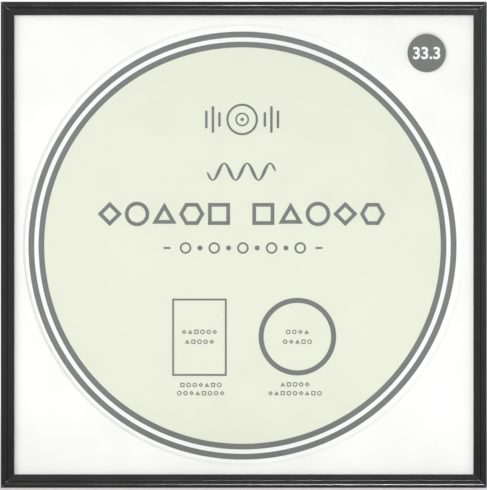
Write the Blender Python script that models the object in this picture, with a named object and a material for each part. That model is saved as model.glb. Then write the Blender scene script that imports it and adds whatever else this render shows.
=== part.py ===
"""A square frame for a twelve-inch record, in metres with +Z up.

Four mitred plastic rails hold a clear sheet, a card mount with a round window, a printed
card and a backing board. Eight turn buttons, each on its own screw, close the back, and a
toothed hanger is riveted to the board. The front faces -Y and the wall is at +Y. The
origin is the top of the hanger's middle notch, where the shank of a wall nail bears.

The pieces are drawn face on: X to the right, Y up the frame's face and Z forward from the
back of the rails. The frame's own empty then stands them up.
"""

import math

import bmesh
import bpy
from mathutils import Matrix

# What the frame holds
RECORD_DIAMETER = 0.302
RECORD_COVER = 0.0045
SHEET_MARGIN = 0.0065

# Clearances
FIT_GAP = 0.0003
SHEET_CLEARANCE = 0.0005
MITRE_GAP = 0.0001
STICKER_GAP = 0.0001
CUT_OVERRUN = 0.001
MERGE_DISTANCE = 0.000001

# Sheets in the rebate, from the front to the back
GLAZING_THICKNESS = 0.0015
MOUNT_THICKNESS = 0.0015
INSERT_THICKNESS = 0.001
BOARD_THICKNESS = 0.003
BEVEL_SLOPE_SHARE = 1.0

# Screws of the turn buttons
SCREW_RADIUS = 0.001
SCREW_DEPTH = 0.007
SCREW_POINT = 0.0015
SCREW_WALL = 0.00095
SCREW_HEAD_RADIUS = 0.0021
SCREW_HEAD_HEIGHT = 0.0012
SCREW_RIM_SHARE = 0.35
RECESS_SPAN_SHARE = 0.6
RECESS_WIDTH_SHARE = 0.16
RECESS_DEPTH_SHARE = 0.6

# Rails
LIP_COVER = 0.004
LIP_DEPTH = 0.0038
BEAD_WIDTH_SHARE = 0.555
SHOULDER_DROP = 0.0022
BEAD_DROP = 0.0007
CREASE_WIDTH = 0.0004
CREASE_DEPTH = 0.0003
BAND_FALL = 0.0006
SIGHT_ROUND = 0.0005

# Turn buttons
BUTTON_THICKNESS = 0.0008
BUTTON_INSET = 0.00015
BUTTON_COVER = 0.01
BUTTON_FROM_CORNER = 0.0825

# V-nails
NAIL_THICKNESS = 0.0008
NAIL_LEG = 0.0055
NAIL_DEPTH = 0.0065

# Hanger and its rivets
HANGER_THICKNESS = 0.0008
HANGER_HEIGHT = 0.008
HANGER_RISE = 0.0019
HANGER_FROM_EDGE = 0.03
FOOT_LENGTH = 0.009
FOOT_ROUND = 0.002
BEND_RUN = 0.0015
BAR_END = 0.001
TOOTH_PITCH = 0.003
TOOTH_DEPTH = 0.0015
TOOTH_COUNT = 9
RIVET_RADIUS = 0.0013
RIVET_HEAD_RADIUS = 0.00275
RIVET_HEAD_HEIGHT = 0.0007
RIVET_RIM_SHARE = 0.4
RIVET_FLANGE_RADIUS = 0.0025
RIVET_FLANGE_HEIGHT = 0.0005
RIVET_BORE_SHARE = 0.6

# Printed card: from the window's edge inwards, a margin, a ring, a space, a ring and a disc
PRINT_MARGIN = 0.0031
OUTER_RING_WIDTH = 0.0039
RING_SPACE = 0.0029
INNER_RING_WIDTH = 0.0038

# Round sticker on the glazing
STICKER_RADIUS = 0.0128
STICKER_THICKNESS = 0.00015
STICKER_FROM_SIDE = 0.0312
STICKER_FROM_TOP = 0.0253

# How finely curves are drawn
BEAD_STEPS = 5
ROUND_STEPS = 3
END_STEPS = 8
SMALL_TURN_STEPS = 16
STICKER_STEPS = 48
WINDOW_STEPS = 96
SHARP_ANGLE = math.radians(40.0)

# Widths across the face
SHEET_SIDE = RECORD_DIAMETER + 2 * SHEET_MARGIN
REBATE_SIDE = SHEET_SIDE + 2 * SHEET_CLEARANCE
RAIL_WALL = 2 * (SCREW_RADIUS + FIT_GAP + SCREW_WALL)
OUTER_SIDE = REBATE_SIDE + 2 * RAIL_WALL
SIGHT_SIDE = SHEET_SIDE - 2 * LIP_COVER
FACE_WIDTH = (OUTER_SIDE - SIGHT_SIDE) / 2
BEAD_WIDTH = FACE_WIDTH * BEAD_WIDTH_SHARE
WINDOW_RADIUS = RECORD_DIAMETER / 2 - RECORD_COVER

# Heights of the faces, forward from the back of the rails, where the board's back lies
BOARD_FRONT = BOARD_THICKNESS
INSERT_BACK = BOARD_FRONT + FIT_GAP
INSERT_FRONT = INSERT_BACK + INSERT_THICKNESS
MOUNT_BACK = INSERT_FRONT + FIT_GAP
MOUNT_FRONT = MOUNT_BACK + MOUNT_THICKNESS
GLAZING_BACK = MOUNT_FRONT + FIT_GAP
GLAZING_FRONT = GLAZING_BACK + GLAZING_THICKNESS
LIP_BACK = GLAZING_FRONT + FIT_GAP
RAIL_DEPTH = LIP_BACK + LIP_DEPTH

# Heights behind the rails are negative
BUTTON_FRONT = -FIT_GAP
BUTTON_BACK = BUTTON_FRONT - BUTTON_THICKNESS
SCREW_HEAD_FRONT = BUTTON_BACK - FIT_GAP
FOOT_FRONT = -FIT_GAP
FOOT_BACK = FOOT_FRONT - HANGER_THICKNESS
BAR_FRONT = FOOT_FRONT - HANGER_RISE
BAR_BACK = BAR_FRONT - HANGER_THICKNESS
RIVET_HEAD_FRONT = FOOT_BACK - FIT_GAP
RIVET_FLANGE_FRONT = BOARD_FRONT - FIT_GAP
RIVET_FLANGE_BACK = RIVET_FLANGE_FRONT - RIVET_FLANGE_HEIGHT

# Places across the face, from the middle of the frame
PIVOT_HEIGHT = OUTER_SIDE / 2 - RAIL_WALL / 2
PIVOT_OFFSET = OUTER_SIDE / 2 - BUTTON_FROM_CORNER
BUTTON_RADIUS = RAIL_WALL / 2 - BUTTON_INSET
BUTTON_REACH = RAIL_WALL / 2 + SHEET_CLEARANCE + BUTTON_COVER
NOTCH_HEIGHT = SHEET_SIDE / 2 - HANGER_FROM_EDGE
HANGER_BOTTOM = NOTCH_HEIGHT - TOOTH_DEPTH
HANGER_TOP = HANGER_BOTTOM + HANGER_HEIGHT
HANGER_MIDDLE = (HANGER_TOP + HANGER_BOTTOM) / 2
BAR_HALF = TOOTH_COUNT * TOOTH_PITCH / 2 + BAR_END
FOOT_START = BAR_HALF + BEND_RUN
FOOT_END = FOOT_START + FOOT_LENGTH
RIVET_OFFSET = FOOT_START + FOOT_LENGTH / 2

# Each side of the frame, with its turn clockwise from the top and its two buttons' names,
# the one at its anticlockwise end first, and the corner at its clockwise end
SIDES = [
    ("top", 0.0, "top_left", "top_right", "top_right"),
    ("right", 90.0, "right_upper", "right_lower", "bottom_right"),
    ("bottom", 180.0, "bottom_right", "bottom_left", "bottom_left"),
    ("left", 270.0, "left_lower", "left_upper", "top_left"),
]


def clear_scene():
    """Empties the file of every object."""
    for item in list(bpy.data.objects):
        bpy.data.objects.remove(item, do_unlink=True)


def finish(name, colour, roughness, metallic=0.0, alpha=1.0):
    """A plain finish: one colour with its roughness, metal share and opacity."""
    material = bpy.data.materials.new(name)
    material.use_nodes = True
    shader = material.node_tree.nodes["Principled BSDF"]
    shader.inputs["Base Color"].default_value = (*colour, 1.0)
    shader.inputs["Roughness"].default_value = roughness
    shader.inputs["Metallic"].default_value = metallic
    shader.inputs["Alpha"].default_value = alpha
    material.diffuse_color = (*colour, alpha)
    return material


def arc(centre, radii, first, last, steps):
    """Points (x, y) along an ellipse's arc, both ends included, with angles in degrees."""
    points = []
    for i in range(steps + 1):
        angle = math.radians(first + (last - first) * i / steps)
        points.append((centre[0] + radii[0] * math.cos(angle), centre[1] + radii[1] * math.sin(angle)))
    return points


def mesh_from(bm, name):
    """Turns a closed bmesh into a mesh whose faces point out."""
    bmesh.ops.recalc_face_normals(bm, faces=bm.faces)
    mesh = bpy.data.meshes.new(name)
    bm.to_mesh(mesh)
    bm.free()
    return mesh


def grown_from(bm, face):
    """The corners of the far face that grows out of a face."""
    grown = bmesh.ops.extrude_face_region(bm, geom=[face])
    return [item for item in grown["geom"] if isinstance(item, bmesh.types.BMVert)]


def prism(name, outline, low, high):
    """A straight-sided body: an outline of (x, y) points drawn out from height low to high."""
    bm = bmesh.new()
    face = bm.faces.new([bm.verts.new((x, y, low)) for x, y in outline])
    bmesh.ops.translate(bm, verts=grown_from(bm, face), vec=(0.0, 0.0, high - low))
    return mesh_from(bm, name)


def plate(name, side, low, high):
    """A square sheet centred on the frame."""
    half = side / 2
    return prism(name, [(-half, -half), (half, -half), (half, half), (-half, half)], low, high)


def turned(name, profile, steps):
    """A round body: (radius, height) points spun once about Z and merged into one skin."""
    bm = bmesh.new()
    verts = [bm.verts.new((radius, 0.0, height)) for radius, height in profile]
    edges = [bm.edges.new(pair) for pair in zip(verts, verts[1:])]
    bmesh.ops.spin(
        bm, geom=verts + edges, cent=(0.0, 0.0, 0.0), axis=(0.0, 0.0, 1.0),
        angle=math.tau, steps=steps, use_merge=True,
    )
    bmesh.ops.remove_doubles(bm, verts=bm.verts, dist=MERGE_DISTANCE)
    return mesh_from(bm, name)


def cylinder(name, radius, low, high, steps):
    """A plain round bar about Z."""
    return turned(name, [(0.0, low), (radius, low), (radius, high), (0.0, high)], steps)


def moved(mesh, x, y):
    """The same mesh, shifted across the face."""
    mesh.transform(Matrix.Translation((x, y, 0.0)))
    return mesh


def carved(mesh, cutters):
    """The mesh that is left after every cutter is taken out of a body."""
    body = bpy.data.objects.new("blank", mesh)
    bpy.context.scene.collection.objects.link(body)
    spare = [body]
    for cutter in cutters:
        tool = bpy.data.objects.new("cutter", cutter)
        tool.hide_render = True
        tool.display_type = "WIRE"
        bpy.context.scene.collection.objects.link(tool)
        cut = body.modifiers.new("cut", "BOOLEAN")
        cut.operation = "DIFFERENCE"
        cut.solver = "EXACT"
        cut.object = tool
        spare.append(tool)
    depsgraph = bpy.context.evaluated_depsgraph_get()
    result = bpy.data.meshes.new_from_object(body.evaluated_get(depsgraph))
    result.name = mesh.name
    for item in spare:
        bpy.data.objects.remove(item, do_unlink=True)
    return result


def empty(name, parent=None, location=(0.0, 0.0, 0.0), rotation=(0.0, 0.0, 0.0)):
    """A named point that carries other pieces."""
    point = bpy.data.objects.new(name, None)
    point.parent = parent
    point.location = location
    point.rotation_euler = rotation
    bpy.context.scene.collection.objects.link(point)
    return point


def place(name, mesh, material, parent, location=(0.0, 0.0, 0.0)):
    """One piece of the frame: a mesh in its finish, on the point that carries it."""
    if not mesh.materials:
        mesh.materials.append(material)
    mesh.shade_smooth()
    mesh.set_sharp_from_angle(angle=SHARP_ANGLE)
    piece = bpy.data.objects.new(name, mesh)
    piece.parent = parent
    piece.location = location
    bpy.context.scene.collection.objects.link(piece)
    return piece


def rail_profile():
    """The rail's section as (inset from the outer edge, height over the back) points.

    An elliptical bead runs along the outer edge. Behind a fine crease, a flatter band falls
    to the rounded sight edge, and the rebate is cut out of the back.
    """
    crown = BEAD_WIDTH / 2
    band_start = BEAD_WIDTH + CREASE_WIDTH
    band_top = RAIL_DEPTH - BEAD_DROP
    sight_top = band_top - BAND_FALL
    points = [(0.0, 0.0)]
    points += arc((crown, RAIL_DEPTH - SHOULDER_DROP), (crown, SHOULDER_DROP), 180.0, 90.0, BEAD_STEPS)
    points += arc((crown, band_top), (crown, BEAD_DROP), 90.0, 0.0, BEAD_STEPS)[1:]
    points.append((BEAD_WIDTH, band_top - CREASE_DEPTH))
    points.append((band_start, band_top))
    round_centre = (FACE_WIDTH - SIGHT_ROUND, sight_top - SIGHT_ROUND)
    points += arc(round_centre, (SIGHT_ROUND, SIGHT_ROUND), 90.0, 0.0, ROUND_STEPS)
    points.append((FACE_WIDTH, LIP_BACK))
    points.append((RAIL_WALL, LIP_BACK))
    points.append((RAIL_WALL, 0.0))
    return points


def nail_outline(growth):
    """The L of a V-nail round a frame corner, grown on every side."""
    corner = PIVOT_HEIGHT
    half = NAIL_THICKNESS / 2 + growth
    end = corner - NAIL_LEG - growth
    return [
        (end, corner + half),
        (corner + half, corner + half),
        (corner + half, end),
        (corner - half, end),
        (corner - half, corner - half),
        (end, corner - half),
    ]


def rail_mesh():
    """The top rail, mitred at both ends, with its screw holes and V-nail slots."""
    half = OUTER_SIDE / 2
    bm = bmesh.new()
    section = rail_profile()
    end = [bm.verts.new((inset + MITRE_GAP / 2 - half, half - inset, height)) for inset, height in section]
    for vert in grown_from(bm, bm.faces.new(end)):
        vert.co.x = -vert.co.x
    blank = mesh_from(bm, "rail")
    cutters = []
    for side in (-1, 1):
        hole = cylinder("hole", SCREW_RADIUS + FIT_GAP, -CUT_OVERRUN, SCREW_DEPTH + FIT_GAP, SMALL_TURN_STEPS)
        cutters.append(moved(hole, side * PIVOT_OFFSET, PIVOT_HEIGHT))
        slot = prism("slot", nail_outline(FIT_GAP), -CUT_OVERRUN, FIT_GAP + NAIL_DEPTH + FIT_GAP)
        if side < 0:
            slot.transform(Matrix.Rotation(math.radians(90.0), 4, "Z"))
        cutters.append(slot)
    return carved(blank, cutters)


def nail_mesh():
    """A V-nail at the clockwise end of the top rail, sunk just under the rails' back."""
    return prism("v_nail", nail_outline(0.0), FIT_GAP, FIT_GAP + NAIL_DEPTH)


def button_mesh():
    """A turn button about its pivot, with its tip down over the board."""
    tip = BUTTON_RADIUS - BUTTON_REACH
    radii = (BUTTON_RADIUS, BUTTON_RADIUS)
    outline = arc((0.0, 0.0), radii, 0.0, 180.0, END_STEPS)
    outline += arc((0.0, tip), radii, 180.0, 360.0, END_STEPS)
    blank = prism("turn_button", outline, BUTTON_BACK, BUTTON_FRONT)
    low = BUTTON_BACK - CUT_OVERRUN
    high = BUTTON_FRONT + CUT_OVERRUN
    hole = cylinder("hole", SCREW_RADIUS + FIT_GAP, low, high, SMALL_TURN_STEPS)
    return carved(blank, [hole])


def cross_outline(span, width):
    """A plus sign, for the recess in a screw's head."""
    far = span / 2
    near = width / 2
    quarter = [(far, near), (near, near), (near, far)]
    points = []
    for turn in range(4):
        angle = math.radians(90.0 * turn)
        for x, y in quarter:
            points.append((x * math.cos(angle) - y * math.sin(angle), x * math.sin(angle) + y * math.cos(angle)))
    return points


def screw_mesh():
    """A pan-head screw on the pivot, with its point in the rail and a cross recess."""
    rim = SCREW_HEAD_FRONT - SCREW_HEAD_HEIGHT * SCREW_RIM_SHARE
    top = SCREW_HEAD_FRONT - SCREW_HEAD_HEIGHT
    dome = arc((0.0, rim), (SCREW_HEAD_RADIUS, top - rim), 0.0, 90.0, ROUND_STEPS)
    profile = [
        (0.0, SCREW_DEPTH),
        (SCREW_RADIUS, SCREW_DEPTH - SCREW_POINT),
        (SCREW_RADIUS, SCREW_HEAD_FRONT),
        (SCREW_HEAD_RADIUS, SCREW_HEAD_FRONT),
        *dome[:-1],
        (0.0, top),
    ]
    blank = turned("button_screw", profile, SMALL_TURN_STEPS)
    outline = cross_outline(2 * SCREW_HEAD_RADIUS * RECESS_SPAN_SHARE, 2 * SCREW_HEAD_RADIUS * RECESS_WIDTH_SHARE)
    recess = prism("recess", outline, top - CUT_OVERRUN, top + SCREW_HEAD_HEIGHT * RECESS_DEPTH_SHARE)
    return carved(blank, [recess])


def mount_mesh():
    """The card mount: a square sheet with a round window bevelled open to the front."""
    bevel = MOUNT_THICKNESS * BEVEL_SLOPE_SHARE
    flare = CUT_OVERRUN * BEVEL_SLOPE_SHARE
    low = MOUNT_BACK - CUT_OVERRUN
    high = MOUNT_FRONT + CUT_OVERRUN
    profile = [(0.0, low), (WINDOW_RADIUS - flare, low), (WINDOW_RADIUS + bevel + flare, high), (0.0, high)]
    window = turned("window", profile, WINDOW_STEPS)
    return carved(plate("window_mount", SHEET_SIDE, MOUNT_BACK, MOUNT_FRONT), [window])


def printed_mesh(paper, ink, tint):
    """The printed card, lofted through loops of matching points, one finish to each band.

    The loops are the card's back and front outlines and the circles of the print on its
    front, all with their points on the same rays from the middle.
    """
    half = SHEET_SIDE / 2
    radii = [WINDOW_RADIUS - PRINT_MARGIN]
    for width in (OUTER_RING_WIDTH, RING_SPACE, INNER_RING_WIDTH):
        radii.append(radii[-1] - width)
    rays = []
    for i in range(WINDOW_STEPS):
        angle = math.tau * i / WINDOW_STEPS
        rays.append((math.cos(angle), math.sin(angle)))
    square = [(x * half / max(abs(x), abs(y)), y * half / max(abs(x), abs(y))) for x, y in rays]
    bm = bmesh.new()
    loops = [[bm.verts.new((x, y, INSERT_BACK)) for x, y in square]]
    loops.append([bm.verts.new((x, y, INSERT_FRONT)) for x, y in square])
    for radius in radii:
        loops.append([bm.verts.new((x * radius, y * radius, INSERT_FRONT)) for x, y in rays])
    finishes = [paper, ink, tint]
    bands = [paper, paper, ink, paper, ink]
    bm.faces.new(loops[0])
    for band, outer, inner in zip(bands, loops, loops[1:]):
        for i in range(WINDOW_STEPS):
            after = (i + 1) % WINDOW_STEPS
            face = bm.faces.new([outer[i], outer[after], inner[after], inner[i]])
            face.material_index = finishes.index(band)
    bm.faces.new(loops[-1]).material_index = finishes.index(tint)
    mesh = mesh_from(bm, "printed_insert")
    for material in finishes:
        mesh.materials.append(material)
    return mesh


def board_mesh():
    """The backing board, bored for the rivets and counterbored in front for their flanges."""
    low = -CUT_OVERRUN
    seat = RIVET_FLANGE_BACK - FIT_GAP
    high = BOARD_FRONT + CUT_OVERRUN
    shank = RIVET_RADIUS + FIT_GAP
    flange = RIVET_FLANGE_RADIUS + FIT_GAP
    profile = [(0.0, low), (shank, low), (shank, seat), (flange, seat), (flange, high), (0.0, high)]
    cutters = []
    for side in (-1, 1):
        hole = turned("hole", profile, SMALL_TURN_STEPS)
        cutters.append(moved(hole, side * RIVET_OFFSET, HANGER_MIDDLE))
    return carved(plate("backing_board", SHEET_SIDE, 0.0, BOARD_FRONT), cutters)


def rivet_mesh():
    """A tubular rivet: a low head on the hanger, a shank and a flange in the board's front."""
    top = RIVET_HEAD_FRONT - RIVET_HEAD_HEIGHT
    rim = RIVET_HEAD_FRONT - RIVET_HEAD_HEIGHT * RIVET_RIM_SHARE
    dome = arc((0.0, rim), (RIVET_HEAD_RADIUS, top - rim), 0.0, 90.0, ROUND_STEPS)
    bore = RIVET_RADIUS * RIVET_BORE_SHARE
    profile = [
        (0.0, top),
        *reversed(dome[:-1]),
        (RIVET_HEAD_RADIUS, RIVET_HEAD_FRONT),
        (RIVET_RADIUS, RIVET_HEAD_FRONT),
        (RIVET_RADIUS, RIVET_FLANGE_BACK),
        (RIVET_FLANGE_RADIUS, RIVET_FLANGE_BACK),
        (RIVET_FLANGE_RADIUS, RIVET_FLANGE_FRONT),
        (bore, RIVET_FLANGE_FRONT),
        (bore, 0.0),
        (0.0, 0.0),
    ]
    return turned("hanger_rivet", profile, SMALL_TURN_STEPS)


def rounded_foot_ends(mesh):
    """The strip with the upright corners at its two ends rounded."""
    bm = bmesh.new()
    bm.from_mesh(mesh)
    upright = []
    for edge in bm.edges:
        first, last = edge.verts
        at_end = min(abs(first.co.x), abs(last.co.x)) > FOOT_END - MERGE_DISTANCE
        if at_end and abs(first.co.y - last.co.y) < MERGE_DISTANCE:
            upright.append(edge)
    bmesh.ops.bevel(bm, geom=upright, offset=FOOT_ROUND, segments=ROUND_STEPS, profile=0.5, affect="EDGES")
    return mesh_from(bm, mesh.name)


def hanger_mesh():
    """The hanger: a steel strip with two feet and a raised bar, toothed along its lower edge."""
    back = [
        (-FOOT_END, FOOT_BACK),
        (-FOOT_START, FOOT_BACK),
        (-BAR_HALF, BAR_BACK),
        (BAR_HALF, BAR_BACK),
        (FOOT_START, FOOT_BACK),
        (FOOT_END, FOOT_BACK),
    ]
    front = [(x, height + HANGER_THICKNESS) for x, height in reversed(back)]
    strip = prism("sawtooth_hanger", back + front, -HANGER_TOP, -HANGER_BOTTOM)
    strip.transform(Matrix.Rotation(math.radians(90.0), 4, "X"))
    low = BAR_BACK - CUT_OVERRUN
    high = FOOT_FRONT + CUT_OVERRUN
    half = TOOTH_COUNT * TOOTH_PITCH / 2
    teeth = [(half, HANGER_BOTTOM - CUT_OVERRUN), (-half, HANGER_BOTTOM - CUT_OVERRUN)]
    for i in range(TOOTH_COUNT):
        start = i * TOOTH_PITCH - half
        teeth.append((start, HANGER_BOTTOM))
        teeth.append((start + TOOTH_PITCH / 2, NOTCH_HEIGHT))
    teeth.append((half, HANGER_BOTTOM))
    cutters = [prism("teeth", teeth, low, high)]
    for side in (-1, 1):
        hole = cylinder("hole", RIVET_RADIUS + FIT_GAP, low, high, SMALL_TURN_STEPS)
        cutters.append(moved(hole, side * RIVET_OFFSET, HANGER_MIDDLE))
    return carved(rounded_foot_ends(strip), cutters)


def build_sheets(frame):
    """The sheets in the rebate and the sticker on the glazing."""
    clear = finish("clear_styrene", (0.9, 0.93, 0.92), 0.05, alpha=0.15)
    white_card = finish("white_card", (0.9, 0.9, 0.89), 0.85)
    paper = finish("printed_card", (0.9, 0.9, 0.89), 0.6)
    ink = finish("grey_ink", (0.2, 0.21, 0.2), 0.6)
    tint = finish("pale_green_ink", (0.75, 0.81, 0.66), 0.6)
    fibreboard = finish("fibreboard", (0.3, 0.17, 0.08), 0.8)
    grey_vinyl = finish("grey_vinyl", (0.2, 0.22, 0.21), 0.45)
    place("glazing", plate("glazing", SHEET_SIDE, GLAZING_BACK, GLAZING_FRONT), clear, frame)
    place("window_mount", mount_mesh(), white_card, frame)
    place("printed_insert", printed_mesh(paper, ink, tint), paper, frame)
    place("backing_board", board_mesh(), fibreboard, frame)
    sticker_back = GLAZING_FRONT + STICKER_GAP
    sticker = cylinder("round_sticker", STICKER_RADIUS, sticker_back, sticker_back + STICKER_THICKNESS, STICKER_STEPS)
    x = SIGHT_SIDE / 2 - STICKER_FROM_SIDE
    y = SIGHT_SIDE / 2 - STICKER_FROM_TOP
    place("round_sticker", sticker, grey_vinyl, frame, (x, y, 0.0))


def build_sides(frame):
    """The four rails, each with its V-nail, its two turn buttons and their screws."""
    black = finish("black_plastic", (0.012, 0.012, 0.013), 0.3)
    zinc = finish("zinc_plate", (0.62, 0.62, 0.6), 0.35, metallic=1.0)
    nickel = finish("nickel_plate", (0.7, 0.68, 0.64), 0.25, metallic=1.0)
    steel = finish("bare_steel", (0.45, 0.45, 0.45), 0.45, metallic=1.0)
    rail = rail_mesh()
    nail = nail_mesh()
    button = button_mesh()
    screw = screw_mesh()
    for side, turn, first, second, corner in SIDES:
        carrier = empty(f"side_{side}", frame, rotation=(0.0, 0.0, -math.radians(turn)))
        place(f"rail_{side}", rail, black, carrier)
        place(f"v_nail_{corner}", nail, steel, carrier)
        for sign, where in ((-1, first), (1, second)):
            pivot = (sign * PIVOT_OFFSET, PIVOT_HEIGHT, 0.0)
            place(f"turn_button_{where}", button, zinc, carrier, pivot)
            place(f"button_screw_{where}", screw, nickel, carrier, pivot)


def build_hanger(frame):
    """The toothed hanger on the board, with its two rivets."""
    steel = finish("zinc_strip", (0.6, 0.6, 0.58), 0.4, metallic=1.0)
    brass = finish("brassed_rivet", (0.72, 0.55, 0.28), 0.35, metallic=1.0)
    rivet = rivet_mesh()
    place("sawtooth_hanger", hanger_mesh(), steel, frame)
    place("hanger_rivet_left", rivet, brass, frame, (-RIVET_OFFSET, HANGER_MIDDLE, 0.0))
    place("hanger_rivet_right", rivet, brass, frame, (RIVET_OFFSET, HANGER_MIDDLE, 0.0))


def build():
    """Builds the whole frame under one empty, which hangs from the nail's point."""
    clear_scene()
    bar_middle = (BAR_FRONT + BAR_BACK) / 2
    frame = empty(
        "frame_middle", location=(0.0, bar_middle, -NOTCH_HEIGHT), rotation=(math.radians(90.0), 0.0, 0.0)
    )
    build_sides(frame)
    build_sheets(frame)
    build_hanger(frame)
    bpy.context.view_layer.update()


build()
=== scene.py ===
"""Looks of a square frame for a twelve-inch record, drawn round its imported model.

Sizes are millimetres. Pieces are drawn face on, in the frame's own coordinates: right and up
from the middle of its face, and forward from the back of the rails. `Face.hang` then stands
each mesh up in the model's place, in metres.
"""

import logging
import math
from abc import ABC, abstractmethod
from dataclasses import dataclass
from enum import Enum
from functools import cache

import bmesh
import bpy
import numpy as np
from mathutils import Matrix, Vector


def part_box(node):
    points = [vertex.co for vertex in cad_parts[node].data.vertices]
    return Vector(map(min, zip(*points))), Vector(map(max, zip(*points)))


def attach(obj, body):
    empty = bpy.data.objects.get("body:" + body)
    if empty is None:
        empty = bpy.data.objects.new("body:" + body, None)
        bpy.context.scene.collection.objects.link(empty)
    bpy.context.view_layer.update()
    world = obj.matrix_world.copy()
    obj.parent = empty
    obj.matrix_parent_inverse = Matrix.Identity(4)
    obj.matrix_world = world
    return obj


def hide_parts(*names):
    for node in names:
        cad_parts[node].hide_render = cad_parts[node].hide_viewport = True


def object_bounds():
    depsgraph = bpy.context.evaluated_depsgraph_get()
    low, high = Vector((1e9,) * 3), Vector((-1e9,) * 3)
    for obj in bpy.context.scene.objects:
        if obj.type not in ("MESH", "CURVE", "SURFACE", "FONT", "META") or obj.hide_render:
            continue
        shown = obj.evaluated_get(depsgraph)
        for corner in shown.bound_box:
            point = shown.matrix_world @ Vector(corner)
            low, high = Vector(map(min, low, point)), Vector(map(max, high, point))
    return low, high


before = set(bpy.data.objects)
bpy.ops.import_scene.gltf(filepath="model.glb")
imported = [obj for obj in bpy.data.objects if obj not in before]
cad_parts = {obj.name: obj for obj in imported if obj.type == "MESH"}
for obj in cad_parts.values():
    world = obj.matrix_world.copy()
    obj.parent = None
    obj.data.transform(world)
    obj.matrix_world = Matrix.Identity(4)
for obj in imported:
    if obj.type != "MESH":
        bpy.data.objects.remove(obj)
cad_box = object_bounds()

log = logging.getLogger("record_frame")

Mesh = bpy.types.Mesh
Material = bpy.types.Material
Tree = bpy.types.NodeTree
Socket = bpy.types.NodeSocket
Pair = tuple[float, float]

MM = 0.001
PHOTO_SIZE = (487, 490)
# Points of a mesh that lie closer than this, in its own units, are one
JOIN = 0.0005
# Edges that turn by more degrees than this stay crisp
CRISP = 35.0


class Ends(Enum):
    """What a skin's path does at its two ends."""

    CAPPED = "capped"
    JOINED = "joined"
    OPEN = "open"


class Grain(Enum):
    """Which way drawn or rolled lines run, as the scale of their pattern along each axis."""

    ACROSS = (0.004, 1.0, 1.0)
    UPRIGHT = (1.0, 1.0, 0.004)

    def squeezed(self, least: float) -> list[float]:
        """The same way, for a pattern that no axis is squeezed further than least."""
        return [max(axis, least) for axis in self.value]


class Side(Enum):
    """A side of the frame, by how far it is turned clockwise from the top, in degrees."""

    TOP = 0
    RIGHT = 90
    BOTTOM = 180
    LEFT = 270

    @property
    def grain(self) -> Grain:
        """Which way the lines of its die run."""
        return Grain.ACROSS if self in (Side.TOP, Side.BOTTOM) else Grain.UPRIGHT


class Catch(Enum):
    """A turn button: its side, which half of that side, and its screw's turn in degrees."""

    TOP_LEFT = (Side.TOP, -1, 12.0)
    TOP_RIGHT = (Side.TOP, 1, 71.0)
    RIGHT_UPPER = (Side.RIGHT, -1, 38.0)
    RIGHT_LOWER = (Side.RIGHT, 1, 5.0)
    BOTTOM_RIGHT = (Side.BOTTOM, -1, 57.0)
    BOTTOM_LEFT = (Side.BOTTOM, 1, 23.0)
    LEFT_LOWER = (Side.LEFT, -1, 80.0)
    LEFT_UPPER = (Side.LEFT, 1, 46.0)


class Figure(Enum):
    """An outlined figure of the print: its corners, its turn, its size and how far it drops.

    The size and the drop are shares of the row's reach, and make all figures look one height.
    """

    DIAMOND = (4, 0.0, 1.0, 0.0)
    CIRCLE = (48, 0.0, 1.0, 0.0)
    TRIANGLE = (3, 90.0, 1.16, 0.22)
    HEXAGON = (6, 0.0, 1.04, 0.0)
    SQUARE = (4, 45.0, 1.27, 0.0)


# Surfaces


@dataclass
class Skin:
    """A surface: rows of matching points along a path, each row a closed loop."""

    rows: np.ndarray
    ends: Ends = Ends.CAPPED

    def faces(self, start: int) -> list[list[int]]:
        """Joins each row to the next with quads, and caps or joins the path's ends.

        Args:
            start: the number of the skin's first point in the mesh.

        Returns:
            The corners of each face.
        """
        count, around = self.rows.shape[:2]
        index = start + np.arange(count * around).reshape(count, around)
        caps = [index[0].tolist(), index[-1].tolist()] if self.ends is Ends.CAPPED else []
        if self.ends is Ends.JOINED:
            index = np.vstack([index, index[:1]])
        index = np.hstack([index, index[:, :1]])
        corners = (index[:-1, :-1], index[1:, :-1], index[1:, 1:], index[:-1, 1:])
        return np.stack(corners, axis=-1).reshape(-1, 4).tolist() + caps


def smoothed(mesh: Mesh, crisp: float) -> Mesh:
    """Shades a mesh smooth, apart from its crisp edges.

    Args:
        mesh: the mesh, which is changed.
        crisp: how many degrees an edge turns by, at least, to stay crisp.

    Returns:
        The same mesh.
    """
    mesh.shade_smooth()
    mesh.set_sharp_from_angle(angle=math.radians(crisp))
    return mesh


def mesh_of(name: str, skins: list[Skin], crisp: float = CRISP) -> Mesh:
    """Puts skins into one mesh, merges the points that meet at poles and turns faces out.

    Args:
        name: the mesh's name.
        skins: the surfaces that it holds.
        crisp: how many degrees an edge turns by, at least, to stay crisp.

    Returns:
        The mesh, in the skins' own units.
    """
    points, faces = [], []
    for skin in skins:
        faces += skin.faces(sum(len(part) for part in points))
        points.append(skin.rows.reshape(-1, 3))
    mesh = bpy.data.meshes.new(name)
    mesh.from_pydata(np.concatenate(points), [], faces)
    shell = bmesh.new()
    shell.from_mesh(mesh)
    bmesh.ops.remove_doubles(shell, verts=shell.verts, dist=JOIN)
    bmesh.ops.recalc_face_normals(shell, faces=shell.faces)
    shell.to_mesh(mesh)
    shell.free()
    return smoothed(mesh, crisp)


def triples(items: bpy.types.bpy_prop_collection, what: str) -> np.ndarray:
    """Reads three numbers from each of a mesh's points or faces.

    Args:
        items: the points or the faces.
        what: the name of what is read.

    Returns:
        A row for each of them.
    """
    values = np.empty(len(items) * 3)
    items.foreach_get(what, values)
    return values.reshape(-1, 3)


def made_mesh(thing: bpy.types.Object) -> Mesh:
    """An object's final mesh, as a mesh of its own."""
    return bpy.data.meshes.new_from_object(thing.evaluated_get(bpy.context.evaluated_depsgraph_get()))


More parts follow.
